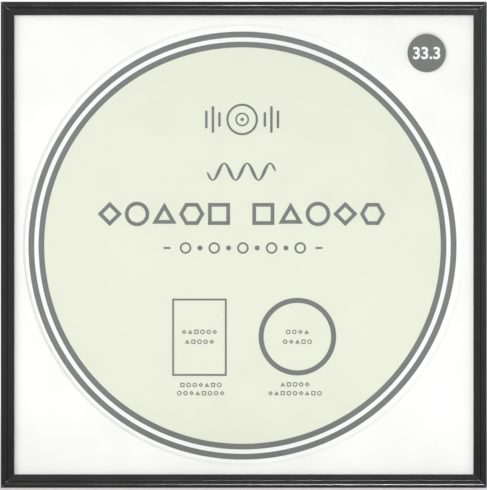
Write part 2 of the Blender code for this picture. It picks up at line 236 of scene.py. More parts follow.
def arc(centre: Pair, radii: Pair, first: float, last: float, steps: int) -> np.ndarray:
    """Points along an ellipse: its centre plus each radius times the angle's cosine or sine.

    Args:
        centre: its middle.
        radii: its half widths.
        first: the angle of the first point, in degrees.
        last: the angle of the last point.
        steps: how many steps lie between them.

    Returns:
        An array of (x, y) rows, both ends included.
    """
    angle = np.radians(np.linspace(first, last, steps + 1))
    return np.array(centre) + np.column_stack([np.cos(angle), np.sin(angle)]) * np.array(radii)


def ring(radius: float, centre: Pair = (0.0, 0.0), count: int = 64, turn: float = 0.0) -> np.ndarray:
    """A regular outline round a centre; with few points it is a polygon."""
    return arc(centre, (radius, radius), turn, turn + 360.0, count)[:-1]


def oblong(
    width: float, height: float, centre: Pair = (0.0, 0.0), soft: float = 0.0, steps: int = 6
) -> np.ndarray:
    """A rectangle's outline: quarter circles round four points, or the points alone.

    Args:
        width: its width.
        height: its height.
        centre: its middle.
        soft: the radius of its corners.
        steps: how many steps a round corner is drawn in.

    Returns:
        Its points, counterclockwise.
    """
    reach = np.array([width, height]) / 2 - soft
    corners = np.array(centre) + reach * np.array([(1, 1), (-1, 1), (-1, -1), (1, -1)])
    if soft == 0.0:
        return corners
    quarters = zip(corners, (0, 90, 180, 270))
    return np.concatenate([arc(tuple(at), (soft, soft), turn, turn + 90, steps) for at, turn in quarters])


def inset(outline: np.ndarray, amount: float) -> np.ndarray:
    """Moves every side of a counterclockwise outline inwards by the same amount.

    Each corner goes along the sum of its two sides' inward normals, times twice the amount
    over that sum's squared length.

    Args:
        outline: the outline's points.
        amount: how far its sides move.

    Returns:
        The moved points.
    """
    sides = np.roll(outline, -1, axis=0) - outline
    sides /= np.linalg.norm(sides, axis=1, keepdims=True)
    inward = np.column_stack([-sides[:, 1], sides[:, 0]])
    both = inward + np.roll(inward, 1, axis=0)
    return outline + both * (2 * amount / np.sum(both**2, axis=1, keepdims=True))


def level(outline: np.ndarray, height: float | np.ndarray) -> np.ndarray:
    """An outline as points at one height."""
    return np.column_stack([outline, np.broadcast_to(height, len(outline))])


def slab(outline: np.ndarray, low: float, high: float, soft: float = 0.0, steps: int = 4) -> Skin:
    """A flat body on an outline, with its rims rounded as quarter circles.

    Args:
        outline: its outline, counterclockwise.
        low: the height of its back.
        high: the height of its front.
        soft: the radius of its rims.
        steps: how many steps a rim is drawn in.

    Returns:
        Rows from the back's rim out to the side and in to the front's rim, capped.
    """
    if soft == 0.0:
        return Skin(np.stack([level(outline, low), level(outline, high)]))
    turn = np.linspace(0.0, math.pi / 2, steps + 1)
    falling, rising = soft * (1 - np.sin(turn)), soft * (1 - np.cos(turn))
    rows = [level(inset(outline, far), low + up) for far, up in zip(falling, rising)]
    rows += [level(inset(outline, far), high - down) for far, down in zip(rising, falling)]
    return Skin(np.stack(rows))


def spun(profile: np.ndarray, centre: Pair = (0.0, 0.0), count: int = 64) -> Skin:
    """A round body: each (radius, height) row of a profile is carried round the centre.

    Args:
        profile: the rows, from one end of the body to the other.
        centre: the middle that it is carried round.
        count: how many points it is carried through.

    Returns:
        A loop for each row of the profile, capped.
    """
    angle = np.linspace(0.0, math.tau, count, endpoint=False)
    radius, height = profile[:, :1], profile[:, 1:] + 0 * angle
    loops = (centre[0] + radius * np.cos(angle), centre[1] + radius * np.sin(angle), height)
    return Skin(np.stack(loops, axis=-1))


def turned(points: np.ndarray, degrees: float) -> np.ndarray:
    """Turns points clockwise round the middle of the face, as seen from the front.

    Args:
        points: points or rows of points.
        degrees: how far they turn.

    Returns:
        The turned points.
    """
    angle = math.radians(degrees)
    out = np.array(points, dtype=float)
    out[..., 0] = points[..., 0] * math.cos(angle) + points[..., 1] * math.sin(angle)
    out[..., 1] = points[..., 1] * math.cos(angle) - points[..., 0] * math.sin(angle)
    return out


def carved(mesh: Mesh, cutters: list[Mesh]) -> Mesh:
    """Takes every cutter out of a body.

    Args:
        mesh: the body.
        cutters: what is taken out of it.

    Returns:
        The mesh that is left.
    """
    body = bpy.data.objects.new("blank", mesh)
    tools = [bpy.data.objects.new("cutter", cutter) for cutter in cutters]
    for item in [body, *tools]:
        bpy.context.scene.collection.objects.link(item)
    for tool in tools:
        cut = body.modifiers.new("cut", "BOOLEAN")
        cut.operation, cut.solver, cut.object = "DIFFERENCE", "EXACT", tool
    result = made_mesh(body)
    for item in [body, *tools]:
        bpy.data.objects.remove(item, do_unlink=True)
    return result


# Finishes

# Sockets of a mix of two colours, which only their numbers tell apart
SHARE, FIRST, SECOND, MIXED = 0, 6, 7, 2


def linear(colour: str) -> tuple[float, float, float, float]:
    """Turns an sRGB hex colour into linear light with full opacity, by the sRGB curve.

    Args:
        colour: a hash and two hex digits each for red, green and blue.

    Returns:
        Red, green and blue as linear light, and an opacity of one.
    """
    parts = [int(colour[start : start + 2], 16) / 255 for start in (1, 3, 5)]
    light = [part / 12.92 if part <= 0.04045 else ((part + 0.055) / 1.055) ** 2.4 for part in parts]
    return (*light, 1.0)


def per_metre(size: float) -> float:
    """The scale of a pattern whose features are this many millimetres wide."""
    return 1 / (size * MM)


def span(which: str, ends: Pair) -> dict[str, float]:
    """The two settings that hold the ends of a range, whose names end in Min and Max."""
    return {f"{which} Min": ends[0], f"{which} Max": ends[1]}


# The middle of a noise's range, where most of its values lie
MIDDLE = span("From", (0.3, 0.7))


def add(
    tree: Tree,
    kind: str,
    inputs: dict[str | int, object] | None = None,
    output: str | int = 0,
    **options: object,
) -> Socket | None:
    """Adds a node with its settings and links.

    Args:
        tree: the node tree.
        kind: the node's type.
        inputs: what each input has: another node's output, which is linked, or a value.
        output: the output that is wanted.
        options: the node's own properties.

    Returns:
        That output, or None from a node that has no outputs.
    """
    made = tree.nodes.new(kind)
    for name, value in options.items():
        setattr(made, name, value)
    for name, value in (inputs or {}).items():
        if isinstance(value, Socket):
            tree.links.new(value, made.inputs[name])
        else:
            made.inputs[name].default_value = value
    return made.outputs[output] if made.outputs else None


def seen(tree: Tree) -> Socket:
    """Tells the rays that show a surface from those that light it.

    Args:
        tree: the node tree.

    Returns:
        One for rays from the camera, from a mirror or through glass, or else zero.
    """
    kinds = ("Is Camera Ray", "Is Glossy Ray", "Is Transmission Ray")
    shown, mirrored, through = (add(tree, "ShaderNodeLightPath", output=kind) for kind in kinds)
    either = add(tree, "ShaderNodeMath", {0: shown, 1: mirrored}, operation="MAXIMUM")
    return add(tree, "ShaderNodeMath", {0: either, 1: through}, operation="MAXIMUM")


class Finish(ABC):
    """A real finish, as a material made of nodes."""

    name: str

    @abstractmethod
    def shader(self, tree: Tree, place: Socket) -> Socket:
        """Adds the finish's nodes.

        Args:
            tree: the material's node tree.
            place: where a point is on the object, in metres.

        Returns:
            The shader.
        """

    @cache
    def material(self) -> Material:
        """Makes the material, the first time that it is asked for.

        Returns:
            The material.
        """
        material = bpy.data.materials.new(self.name)
        material.use_nodes = True
        tree = material.node_tree
        tree.nodes.clear()
        place = add(tree, "ShaderNodeTexCoord", output="Object")
        add(tree, "ShaderNodeOutputMaterial", {"Surface": self.shader(tree, place)})
        return material


@dataclass(frozen=True)
class MouldedStyrene(Finish):
    """Black polystyrene, extruded through a die: a semi-gloss skin with faint drawn lines."""

    name: str
    grain: Grain
    colour: str = "#0c0c0d"
    worn: str = "#141415"
    gloss: Pair = (0.13, 0.2)
    ior: float = 1.55
    mirror: float = 0.33
    cloud: float = 9.0
    line: float = 0.35
    line_depth: float = 0.006
    ripple: float = 14.0
    ripple_depth: float = 0.02
    scuff: float = 0.25
    scuff_squeeze: float = 0.08
    scuff_patch: float = 27.0
    scuff_peaks: Pair = (0.4, 0.47)
    scuff_colour: str = "#1d1d1e"
    scuff_gloss: float = 0.36

    def skin(self, tree: Tree, place: Socket) -> Socket:
        """The relief: lines that the die leaves along the rail, on a slow ripple.

        They break the rail's highlights into longer and shorter glints.

        Args:
            tree: the material's node tree.
            place: where a point is on the object, in metres.

        Returns:
            The bumped normal.
        """
        along = add(tree, "ShaderNodeMapping", {"Vector": place, "Scale": self.grain.value})
        fine = {"Vector": along, "Scale": per_metre(self.line), "Detail": 2.0}
        lines = add(tree, "ShaderNodeTexNoise", fine)
        slow = {"Vector": place, "Scale": per_metre(self.ripple), "Detail": 1.0}
        ripple = add(tree, "ShaderNodeTexNoise", slow)
        swell = add(tree, "ShaderNodeBump", {"Height": ripple, "Distance": self.ripple_depth * MM})
        relief = {"Height": lines, "Distance": self.line_depth * MM, "Normal": swell}
        return add(tree, "ShaderNodeBump", relief)

    def scuffs(self, tree: Tree, place: Socket) -> Socket:
        """Dull scuffs from handling: short lines, where two patterns are near their peaks.

        One pattern is fine and squeezed along the rail, the other is broad.

        Args:
            tree: the material's node tree.
            place: where a point is on the object, in metres.

        Returns:
            How scuffed a point is, from 0 to 1.
        """
        scale = self.grain.squeezed(self.scuff_squeeze)
        short = add(tree, "ShaderNodeMapping", {"Vector": place, "Scale": scale})
        fine = {"Vector": short, "Scale": per_metre(self.scuff), "Detail": 1.0}
        broad = {"Vector": place, "Scale": per_metre(self.scuff_patch), "Detail": 3.0}
        both = {0: add(tree, "ShaderNodeTexNoise", fine), 1: add(tree, "ShaderNodeTexNoise", broad)}
        marks = add(tree, "ShaderNodeMath", both, operation="MULTIPLY")
        return add(tree, "ShaderNodeMapRange", {"Value": marks, **span("From", self.scuff_peaks)})

    def shader(self, tree: Tree, place: Socket) -> Socket:
        """The finish: a gloss that drifts in clouds, with relief and scuffs.

        Args:
            tree: the material's node tree.
            place: where a point is on the object, in metres.

        Returns:
            The shader.
        """
        broad = {"Vector": place, "Scale": per_metre(self.cloud), "Detail": 3.0}
        clouds = add(tree, "ShaderNodeTexNoise", broad)
        scuffs = self.scuffs(tree, place)
        share = add(tree, "ShaderNodeMapRange", {"Value": clouds, **MIDDLE})
        colours = {SHARE: share, FIRST: linear(self.colour), SECOND: linear(self.worn)}
        black = add(tree, "ShaderNodeMix", colours, MIXED, data_type="RGBA")
        colours = {SHARE: scuffs, FIRST: black, SECOND: linear(self.scuff_colour)}
        gloss = add(tree, "ShaderNodeMapRange", {"Value": clouds, **MIDDLE, **span("To", self.gloss)})
        dulled = {"Value": scuffs, "To Min": gloss, "To Max": self.scuff_gloss}
        return add(
            tree,
            "ShaderNodeBsdfPrincipled",
            {
                "IOR": self.ior,
                "Specular IOR Level": self.mirror,
                "Base Color": add(tree, "ShaderNodeMix", colours, MIXED, data_type="RGBA"),
                "Roughness": add(tree, "ShaderNodeMapRange", dulled),
                "Normal": self.skin(tree, place),
            },
        )


@dataclass(frozen=True)
class ClearStyrene(Finish):
    """Clear polystyrene sheet: it mirrors a little at every angle and is never quite flat."""

    name: str = "clear_styrene"
    tint: str = "#fefefe"
    ior: float = 1.59
    roughness: float = 0.03
    wave: float = 45.0
    wave_depth: float = 0.02

    def shader(self, tree: Tree, place: Socket) -> Socket:
        """The finish: what passes the sheet is mixed with what it mirrors, by Fresnel.

        No ray is bent here, so the inner face must not mirror as one seen from within does:
        its IOR is turned over, which leaves it as clear as the outer face.

        Args:
            tree: the material's node tree.
            place: where a point is on the object, in metres.

        Returns:
            The shader.
        """
        slow = {"Vector": place, "Scale": per_metre(self.wave), "Detail": 1.0}
        waves = add(tree, "ShaderNodeTexNoise", slow)
        normal = add(tree, "ShaderNodeBump", {"Height": waves, "Distance": self.wave_depth * MM})
        inner = add(tree, "ShaderNodeNewGeometry", output="Backfacing")
        iors = {"Value": inner, "To Min": self.ior, "To Max": 1 / self.ior}
        fresnel = {"IOR": add(tree, "ShaderNodeMapRange", iors), "Normal": normal}
        share = add(tree, "ShaderNodeFresnel", fresnel)
        clear = add(tree, "ShaderNodeBsdfTransparent", {"Color": linear(self.tint)})
        mirror = add(tree, "ShaderNodeBsdfGlossy", {"Roughness": self.roughness, "Normal": normal})
        return add(tree, "ShaderNodeMixShader", {0: share, 1: clear, 2: mirror})


@dataclass(frozen=True)
class Stock(Finish):
    """Paper, card, ink or vinyl: a dull base whose colour and relief are fine grain."""

    name: str
    colour: str
    fleck: str
    roughness: Pair
    grain: float
    grain_depth: float
    blotch: float = 30.0
    gathered: Pair = (0.12, 0.42)
    ior: float = 1.5

    def shader(self, tree: Tree, place: Socket) -> Socket:
        """The finish: flecks of a second colour, which gather in soft blotches.

        Args:
            tree: the material's node tree.
            place: where a point is on the object, in metres.

        Returns:
            The shader.
        """
        small = {"Vector": place, "Scale": per_metre(self.grain), "Detail": 3.0}
        broad = {"Vector": place, "Scale": per_metre(self.blotch), "Detail": 1.0}
        fine = add(tree, "ShaderNodeTexNoise", small)
        both = {0: fine, 1: add(tree, "ShaderNodeTexNoise", broad)}
        flecks = add(tree, "ShaderNodeMath", both, operation="MULTIPLY")
        share = add(tree, "ShaderNodeMapRange", {"Value": flecks, **span("From", self.gathered)})
        colours = {SHARE: share, FIRST: linear(self.colour), SECOND: linear(self.fleck)}
        dull = {"Value": fine, **MIDDLE, **span("To", self.roughness)}
        relief = {"Height": fine, "Distance": self.grain_depth * MM}
        return add(
            tree,
            "ShaderNodeBsdfPrincipled",
            {
                "IOR": self.ior,
                "Base Color": add(tree, "ShaderNodeMix", colours, MIXED, data_type="RGBA"),
                "Roughness": add(tree, "ShaderNodeMapRange", dull),
                "Normal": add(tree, "ShaderNodeBump", relief),
            },
        )


@dataclass(frozen=True)
class Fibreboard(Finish):
    """Medium-density fibreboard: pressed wood fibres, sanded flat and quite matt."""

    name: str = "fibreboard_brown"
    colour: str = "#ad8b64"
    shade: str = "#a4835c"
    fibre_colour: str = "#765637"
    fibre: float = 0.35
    squeeze: float = 0.2
    leans: tuple[float, ...] = (-58.0, 4.0, 66.0)
    fibre_peaks: Pair = (0.56, 0.76)
    fibre_share: Pair = (0.0, 0.55)
    cloud: float = 22.0
    grain: float = 0.5
    grain_depth: float = 0.04
    roughness: Pair = (0.75, 0.95)

    def fibres(self, tree: Tree, place: Socket) -> Socket:
        """Fibres that lie every way: the peaks of the greatest of several patterns.

        Each pattern is stretched along a line of its own lean.

        Args:
            tree: the material's node tree.
            place: where a point is on the object, in metres.

        Returns:
            How much of the fibres' colour shows at a point.
        """
        strands = 0.0
        for lean in self.leans:
            turn, stretch = (0.0, math.radians(lean), 0.0), (1.0, 1.0, 1 / self.squeeze)
            leaning = {"Vector": place, "Rotation": turn, "Scale": stretch}
            along = add(tree, "ShaderNodeMapping", leaning, vector_type="TEXTURE")
            fine = {"Vector": along, "Scale": per_metre(self.fibre), "Detail": 2.0}
            both = {0: strands, 1: add(tree, "ShaderNodeTexNoise", fine)}
            strands = add(tree, "ShaderNodeMath", both, operation="MAXIMUM")
        peaks = {"Value": strands, **span("From", self.fibre_peaks), **span("To", self.fibre_share)}
        return add(tree, "ShaderNodeMapRange", peaks)

    def shader(self, tree: Tree, place: Socket) -> Socket:
        """The finish: cloudy brown, with darker fibres on it.

        Args:
            tree: the material's node tree.
            place: where a point is on the object, in metres.

        Returns:
            The shader.
        """
        broad = {"Vector": place, "Scale": per_metre(self.cloud), "Detail": 3.0}
        clouds = {"Value": add(tree, "ShaderNodeTexNoise", broad), **MIDDLE}
        share = add(tree, "ShaderNodeMapRange", clouds)
        colours = {SHARE: share, FIRST: linear(self.colour), SECOND: linear(self.shade)}
        brown = add(tree, "ShaderNodeMix", colours, MIXED, data_type="RGBA")
        fibres = self.fibres(tree, place)
        colours = {SHARE: fibres, FIRST: brown, SECOND: linear(self.fibre_colour)}
        small = {"Vector": place, "Scale": per_metre(self.grain), "Detail": 3.0}
        fine = add(tree, "ShaderNodeTexNoise", small)
        dull = {"Value": fine, **MIDDLE, **span("To", self.roughness)}
        relief = {"Height": fine, "Distance": self.grain_depth * MM}
        return add(
            tree,
            "ShaderNodeBsdfPrincipled",
            {
                "Base Color": add(tree, "ShaderNodeMix", colours, MIXED, data_type="RGBA"),
                "Roughness": add(tree, "ShaderNodeMapRange", dull),
                "Normal": add(tree, "ShaderNodeBump", relief),
            },
        )


@dataclass(frozen=True)
class PlatedSteel(Finish):
    """Stamped, sheared or turned steel, plated or bare: a cloudy gloss with fine marks."""

    name: str
    colour: str
    dull: str
    roughness: Pair
    cloud: float
    scratch: float = 0.5
    scratch_depth: float = 0.006
    squeeze: float = 0.08

    def shader(self, tree: Tree, place: Socket) -> Socket:
        """The finish: a metal whose colour and gloss drift, with faint rolled lines.

        Args:
            tree: the material's node tree.
            place: where a point is on the object, in metres.

        Returns:
            The shader.
        """
        scale = Grain.ACROSS.squeezed(self.squeeze)
        along = add(tree, "ShaderNodeMapping", {"Vector": place, "Scale": scale})
        fine = {"Vector": along, "Scale": per_metre(self.scratch), "Detail": 3.0}
        broad = {"Vector": place, "Scale": per_metre(self.cloud), "Detail": 3.0}
        lines, clouds = (add(tree, "ShaderNodeTexNoise", noise) for noise in (fine, broad))
        share = add(tree, "ShaderNodeMapRange", {"Value": clouds, **MIDDLE})
        colours = {SHARE: share, FIRST: linear(self.colour), SECOND: linear(self.dull)}
        gloss = {"Value": clouds, **MIDDLE, **span("To", self.roughness)}
        relief = {"Height": lines, "Distance": self.scratch_depth * MM}
        return add(
            tree,
            "ShaderNodeBsdfPrincipled",
            {
                "Metallic": 1.0,
                "Base Color": add(tree, "ShaderNodeMix", colours, MIXED, data_type="RGBA"),
                "Roughness": add(tree, "ShaderNodeMapRange", gloss),
                "Normal": add(tree, "ShaderNodeBump", relief),
            },
        )


@dataclass(frozen=True)
class PaintedFloor(Finish):
    """Matt pale paint, which fades into the white surroundings away from the frame."""

    name: str = "painted_floor_pale"
    colour: str = "#ededeb"
    fade: Pair = (0.45, 1.6)
    whiteness: Pair = (0.4, 1.0)

    def shader(self, tree: Tree, place: Socket) -> Socket:
        """The finish: paint, and for rays that show it more and more plain white.

        Args:
            tree: the material's node tree.
            place: where a point is on the floor, in metres.

        Returns:
            The shader.
        """
        apart = add(tree, "ShaderNodeVectorMath", {0: place}, "Value", operation="LENGTH")
        ranges = {"Value": apart, **span("From", self.fade), **span("To", self.whiteness)}
        fade = add(tree, "ShaderNodeMapRange", ranges, interpolation_type="SMOOTHSTEP")
        share = add(tree, "ShaderNodeMath", {0: fade, 1: seen(tree)}, operation="MULTIPLY")
        paint = add(tree, "ShaderNodeBsdfDiffuse", {"Color": linear(self.colour)})
        white = add(tree, "ShaderNodeEmission", {"Strength": 1.0})
        return add(tree, "ShaderNodeMixShader", {0: share, 1: paint, 2: white})


# The rails' styrene, once for each way that a rail runs
STYRENE = {grain: MouldedStyrene(f"moulded_styrene_black_{grain.name.lower()}", grain) for grain in Grain}
CLEAR = ClearStyrene()
# Mount board: a white face paper over a whiter core, which a bevel cutter lays bare
MOUNT_PAPER = Stock("mount_board_white", "#f3f3f2", "#eeeeec", (0.8, 0.95), 0.9, 0.012)
MOUNT_CORE = Stock("mount_board_core", "#f7f7f5", "#f0f0ed", (0.9, 1.0), 0.5, 0.03)
# Coated card, printed with two matt inks that cover it evenly
PRINT_CARD = Stock("coated_card_white", "#f2f3f3", "#eeefef", (0.5, 0.6), 1.2, 0.004)
GREEN_INK = Stock("offset_ink_pale_green", "#e1e4d3", "#dee1cf", (0.5, 0.62), 1.5, 0.003)
GREY_INK = Stock("offset_ink_grey", "#5d605e", "#646765", (0.5, 0.62), 1.0, 0.003)
# Real fibres are a fifth as wide: these are drawn as coarse as they need to be to show
BOARD_FIBRES = Fibreboard()
# Calendered vinyl, printed white
VINYL = Stock("calendered_vinyl_grey", "#737775", "#6f7371", (0.4, 0.5), 1.6, 0.004)
WHITE_INK = Stock("screen_ink_white", "#f4f5f5", "#eef0f0", (0.5, 0.6), 1.0, 0.002)
# Bright zinc plate on stamped steel: blue-grey and cloudy
ZINC = PlatedSteel("zinc_plated_steel", "#b4b8bd", "#989ca2", (0.28, 0.42), 3.0)
# Nickel plate on a cold-headed screw: warmer and brighter
NICKEL = PlatedSteel("nickel_plated_steel", "#cfc9be", "#b6b0a4", (0.16, 0.3), 2.0)
# Bare steel strip, sheared and driven in: dull, with rolled lines
STEEL = PlatedSteel("bare_steel_strip", "#8b8d8f", "#6b6c6e", (0.38, 0.55), 4.0)
# Brass wash on a steel rivet
BRASSED = PlatedSteel("brassed_steel", "#cfa65c", "#b08a46", (0.22, 0.36), 2.0)


# The frame's sub-assemblies


@dataclass(frozen=True)
class Face:
    """Where the frame's own coordinates lie in the model.

    Args:
        middle: the world's X and Z of the middle of the face.
        back: the world's Y of the back of the rails.
        half: half the frame's outer side.
    """

    middle: Pair
    back: float
    half: float

    @classmethod
    def from_model(cls) -> "Face":
        """Reads the face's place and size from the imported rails.

        Returns:
            The face.
        """
        boxes = [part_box(f"rail_{side.name.lower()}") for side in Side]
        low = np.min([box[0] for box in boxes], axis=0) / MM
        high = np.max([box[1] for box in boxes], axis=0) / MM
        middle = ((low[0] + high[0]) / 2, (low[2] + high[2]) / 2)
        return cls(middle, high[1], (high[0] - low[0]) / 2)

    def depth_of(self, node: str) -> Pair:
        """How far forward a node's back and front lie."""
        low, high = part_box(node)
        return self.back - high.y / MM, self.back - low.y / MM

    def hang(
        self,
        name: str,
        mesh: Mesh,
        finishes: list[Finish],
        slot: str,
        replaces: str | None = None,
        body: str = "frame",
        turn: float = 0.0,
    ) -> bpy.types.Object:
        """Stands a mesh up in the model's place and makes it a piece of the frame.

        A point goes to X plus its right, Y minus its forward and Z plus its up.

        Args:
            name: the piece's name.
            mesh: its shape in the frame's own millimetres, used up by this call.
            finishes: the finishes of its slots.
            slot: the record's slot for its finish; it is not used.
            replaces: the node that it stands for, if there is one.
            body: the body that it rides on.
            turn: how far it is turned clockwise, in degrees.

        Returns:
            The new object.
        """
        right, up, forward = turned(triples(mesh.vertices, "co"), turn).T
        world = np.column_stack([self.middle[0] + right, self.back - forward, self.middle[1] + up])
        mesh.vertices.foreach_set("co", (world * MM).ravel())
        mesh.update()
        mesh.materials.clear()
        for finish in finishes:
            mesh.materials.append(finish.material())
        piece = bpy.data.objects.new(name, mesh)
        bpy.context.scene.collection.objects.link(piece)
        # Broad faces keep their own normal, so that a rounded rim doesn't dish what they mirror
        piece.modifiers.new("flat_faces", "WEIGHTED_NORMAL").keep_sharp = True
        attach(piece, body)
        if replaces:
            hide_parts(replaces)
        log.info("%s: %d faces on %s", name, len(mesh.polygons), body)
        return piece


@dataclass
class Rails:
    """Four mitred rails of one moulding, with the V-nails that pin their corners.

    Across its face, the moulding has a rounded bead, a crease, a low ridge and a flat band
    that falls to the sight edge.
    """

    face: Face
    width: float = 9.0
    wall: float = 4.5
    bead: float = 4.3
    crown: float = 1.95
    shoulder_drop: float = 2.2
    bead_drop: float = 0.7
    crease_width: float = 0.3
    crease_depth: float = 0.25
    crest_drop: float = 0.195
    ridge: float = 4.95
    ridge_radii: Pair = (0.8, 0.4)
    band_fall: float = 0.7
    sight_round: float = 0.5
    edge_round: float = 0.15
    mitre_gap: float = 0.1
    mitre_round: float = 0.09
    nail_inset: float = 2.25
    nail_leg: float = 5.5
    nail_thickness: float = 0.8
    nail_depth: float = 6.8
    clearance: float = 0.3
    lip_back: float = 8.2
    overrun: float = 1.0
    steps: int = 22
    crisp: float = 30.0

    def profile(self, depth: float) -> np.ndarray:
        """The moulding's section, counterclockwise, as (inset from the outer edge, height).

        It is made of elliptical arcs: bead, crease, ridge, band and sight edge, then the
        rebate's corner, with small rounds where the die has them. Each arc runs between the
        angles at which it meets its neighbours.

        Args:
            depth: the height of the bead's crown over the back.

        Returns:
            The closed outline's points.
        """
        bead, crown = self.bead, self.crown
        band = depth - self.bead_drop
        sight = band - self.band_fall
        small, tiny = self.sight_round, self.edge_round
        groove = bead + self.crease_width / 2
        parts = [
            arc((tiny, tiny), (tiny, tiny), 270, 180, 3),
            arc((crown, depth - self.shoulder_drop), (crown, self.shoulder_drop), 180, 90, self.steps),
            arc((crown, band), (bead - crown, self.bead_drop), 90, 4, self.steps)[1:],
            arc((groove, band - tiny / 2), (self.crease_width / 2, self.crease_depth), 200, 340, 8),
            arc((bead + self.crease_width + tiny, band - self.crest_drop), (tiny, tiny), 175, 110, 4),
            arc((self.ridge, band - self.ridge_radii[1]), self.ridge_radii, 100, 58, 10),
            arc((self.width - small, sight - small), (small, small), 84, 0, 8),
            arc((self.width - tiny, self.lip_back + tiny), (tiny, tiny), 0, -90, 3),
            np.array([[self.wall, self.lip_back]]),
            arc((self.wall - tiny, tiny), (tiny, tiny), 0, -90, 3),
        ]
        return np.concatenate(parts)[::-1]

    def blank(self, depth: float) -> Mesh:
        """The top rail before it is cut: the section carried from mitre to mitre.

        At each inset, the rail's end lies that far in from its corner. Over the last
        hundredths of a millimetre the section shrinks along a quarter circle, so that a
        mitre shows as a fine line.

        Args:
            depth: the height of the bead's crown over the back.

        Returns:
            The uncut rail's mesh.
        """
        turn = np.radians([0.0, 30.0, 60.0, 90.0])
        back_off = self.mitre_round * (1 - np.sin(turn))
        shrink = self.mitre_round * (1 - np.cos(turn))
        section = self.profile(depth)
        rows = []
        for gone, less in zip(back_off[::-1], shrink[::-1]):
            smaller = inset(section, less)
            reach = self.face.half - smaller[:, 0] - self.mitre_gap / 2 - gone
            rows.append(np.column_stack([-reach, self.face.half - smaller[:, 0], smaller[:, 1]]))
        mirrored = [row * np.array([-1.0, 1.0, 1.0]) for row in rows[::-1]]
        return mesh_of("rail", [Skin(np.stack(rows + mirrored))], self.crisp)

    def nail_slot(self, degrees: float) -> Mesh:
        """The slot of a V-nail: an L round a corner, grown by its clearance.

        Args:
            degrees: how far the corner is turned from the top right one.

        Returns:
            The mesh to cut with.
        """
        half = self.nail_thickness / 2 + self.clearance
        near = self.face.half - self.nail_inset
        end = near - self.nail_leg - self.clearance
        far, close = near + half, near - half
        outline = np.array([(end, close), (close, close), (close, end), (far, end), (far, far), (end, far)])
        skin = slab(outline, -self.overrun, self.nail_depth + self.clearance)
        return mesh_of("slot", [Skin(turned(skin.rows, degrees))])

    def build(self) -> None:
        """Makes the four rails and dresses the V-nails of the model."""
        blank = self.blank(self.face.depth_of("rail_top")[1])
        rail = smoothed(carved(blank, [self.nail_slot(0.0), self.nail_slot(-90.0)]), self.crisp)
        for side in Side:
            name = side.name.lower()
            self.face.hang(
                f"{name}_moulding",
                rail.copy(),
                [STYRENE[side.grain]],
                "black_plastic",
                f"rail_{name}",
                turn=side.value,
            )
        for corner in ("top_right", "bottom_right", "bottom_left", "top_left"):
            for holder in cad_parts[f"v_nail_{corner}"].material_slots:
                holder.material = STEEL.material()
            log.info("v_nail_%s: the model's own solid, in %s", corner, STEEL.name)


@dataclass
class Sheets:
    """What the rebate holds: the clear sheet, the card mount, the board and the card."""

    face: Face
    side: float = 315.0
    corner: float = 0.6
    window: float = 146.5
    rays: int = 720
    bevel_lean: float = 0.9
    glazing_soft: float = 0.12
    board_soft: float = 0.25
    card_soft: float = 0.1

    def sheet(self, name: str, node: str, finish: Finish, slot: str, soft: float) -> None:
        """Makes a plain sheet, cut square, with softened rims.

        Args:
            name: the piece's name.
            node: the node that it stands for.
            finish: its finish.
            slot: the record's slot for its finish.
            soft: the radius of its rims.
        """
        outline = oblong(self.side, self.side, soft=self.corner)
        mesh = mesh_of(name, [slab(outline, *self.face.depth_of(node), soft)])
        self.face.hang(name, mesh, [finish], slot, node)

    def mount(self) -> None:
        """Makes the card mount with its round window, cut at 45 degrees.

        Both outlines lie on the same rays from the middle: the square at each ray's cosine
        and sine over the larger of them, the window at its radius. A face inside the window
        that leans is the bevel's, and shows the core.
        """
        back, front = self.face.depth_of("window_mount")
        ray = ring(1.0, count=self.rays)
        square = ray * (self.side / 2 / np.abs(ray).max(axis=1, keepdims=True))
        flare = self.window + front - back
        outer = [level(square, back), level(square, front)]
        inner = [level(ray * flare, front), level(ray * self.window, back)]
        mesh = mesh_of("mount", [Skin(np.stack(outer + inner), Ends.JOINED)])
        inside = np.hypot(*triples(mesh.polygons, "center")[:, :2].T) < flare
        bevel = inside & (np.abs(triples(mesh.polygons, "normal")[:, 2]) < self.bevel_lean)
        finishes = [MOUNT_PAPER, MOUNT_CORE]
        piece = self.face.hang("card_mount", mesh, finishes, "white_card", "window_mount")
        piece.data.polygons.foreach_set("material_index", bevel.astype(np.int32))

    def build(self) -> None:
        """Makes the four sheets."""
        self.sheet("clear_sheet", "glazing", CLEAR, "clear_styrene", self.glazing_soft)
        self.mount()
        self.sheet("fibre_board", "backing_board", BOARD_FIBRES, "fibreboard", self.board_soft)
        self.sheet("coated_card", "printed_insert", PRINT_CARD, "printed_card", self.card_soft)


